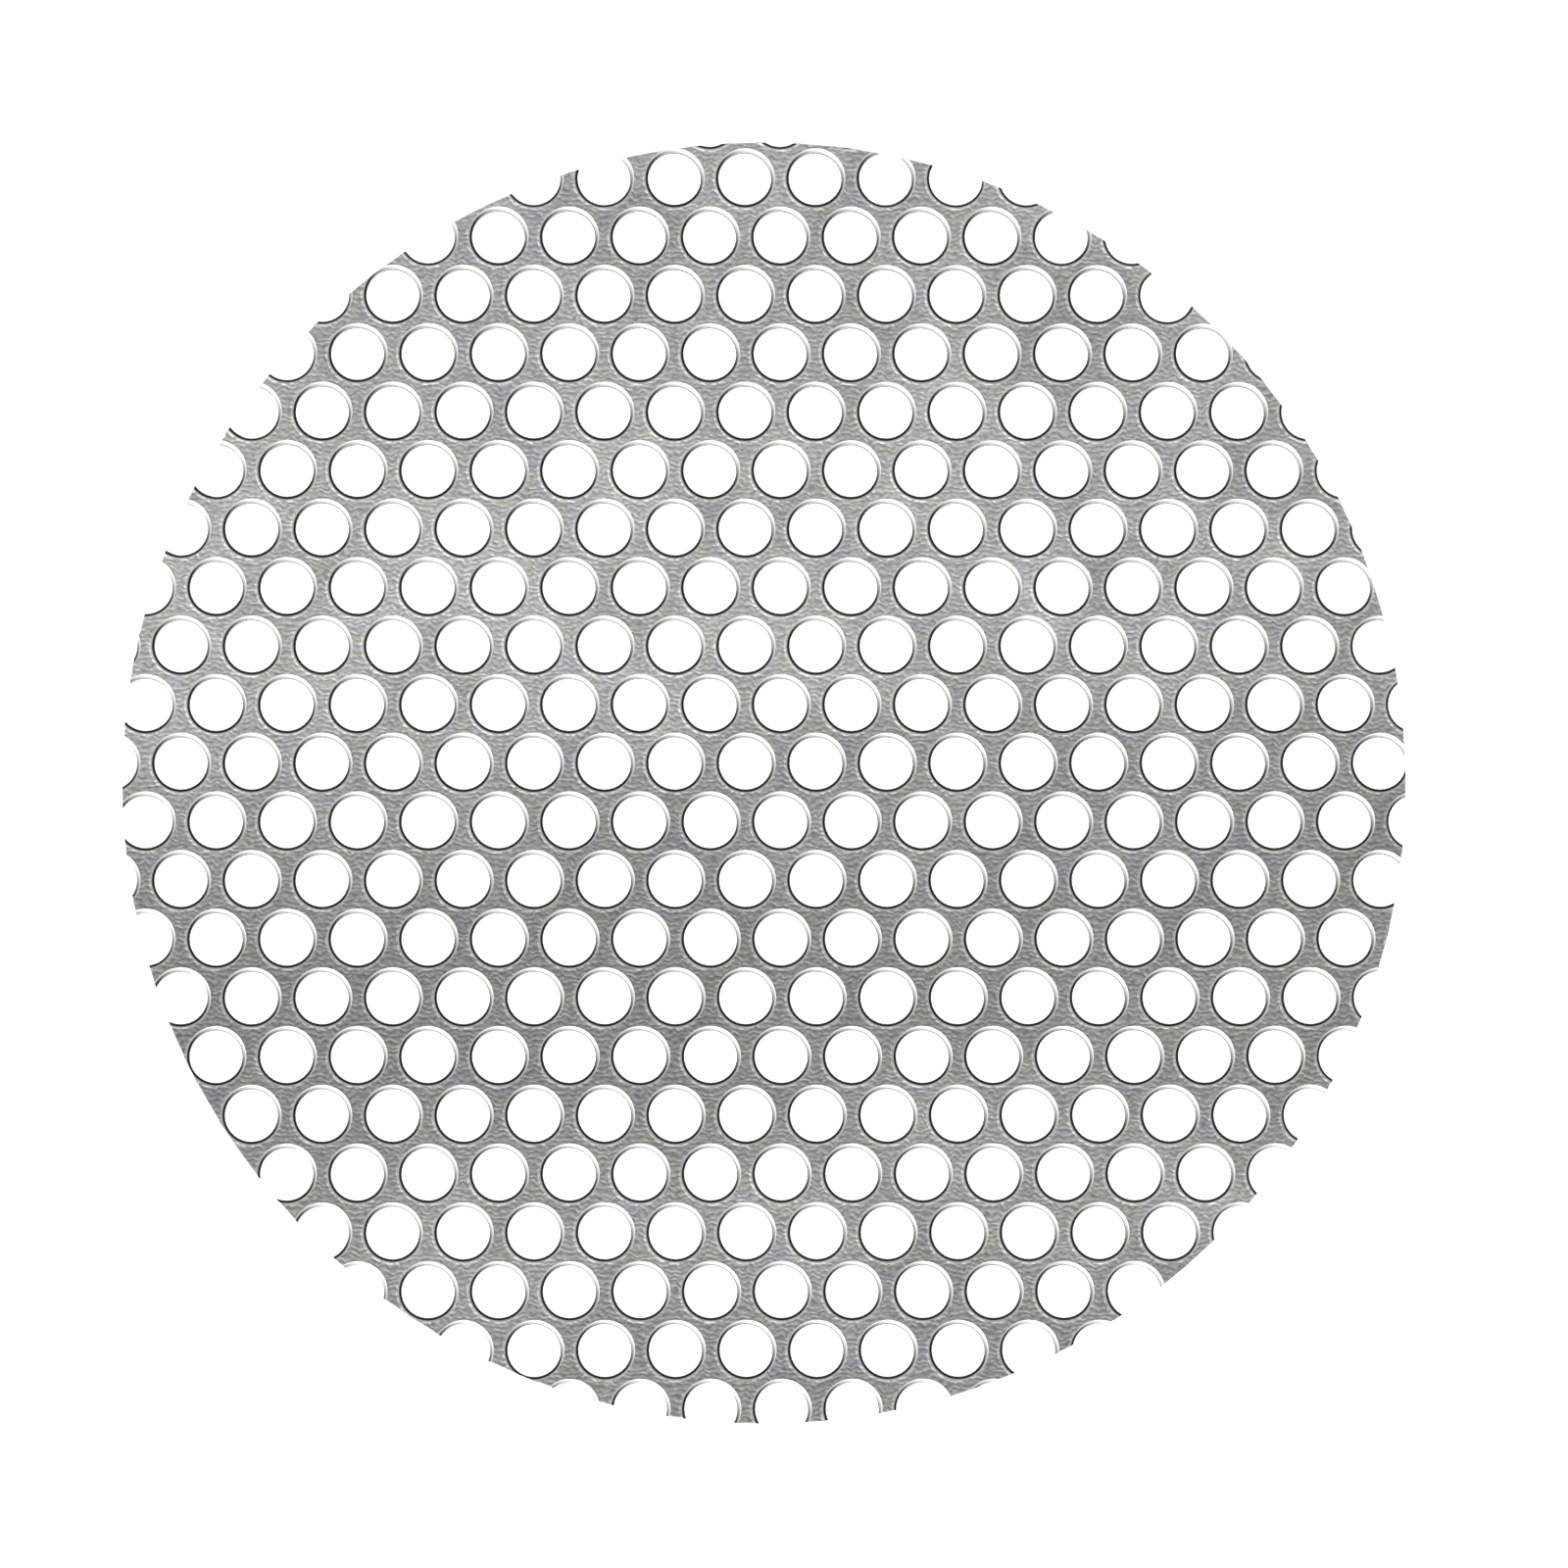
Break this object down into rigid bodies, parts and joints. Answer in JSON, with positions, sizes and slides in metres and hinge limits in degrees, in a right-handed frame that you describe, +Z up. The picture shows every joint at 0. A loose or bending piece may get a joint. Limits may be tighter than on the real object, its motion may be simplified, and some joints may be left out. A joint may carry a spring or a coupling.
{
  "type": "perforated metal sheet",
  "caption": "Flat round disc of stainless steel sheet, punched all over with staggered round holes that run out through its plain cut rim.",
  "frame": {"origin": "centre of the round disc, on its underside", "axes": "+Z up, out of the punched face; +X along the rows of holes; +Y across the rows"},
  "size_m": [0.1456, 0.1456, 0.002],
  "materials": {
    "brushed_stainless": "brushed along the rows of holes"
  },
  "bodies": {
    "root": {"perforated_sheet": "brushed_stainless"}
  },
  "joints": []
}
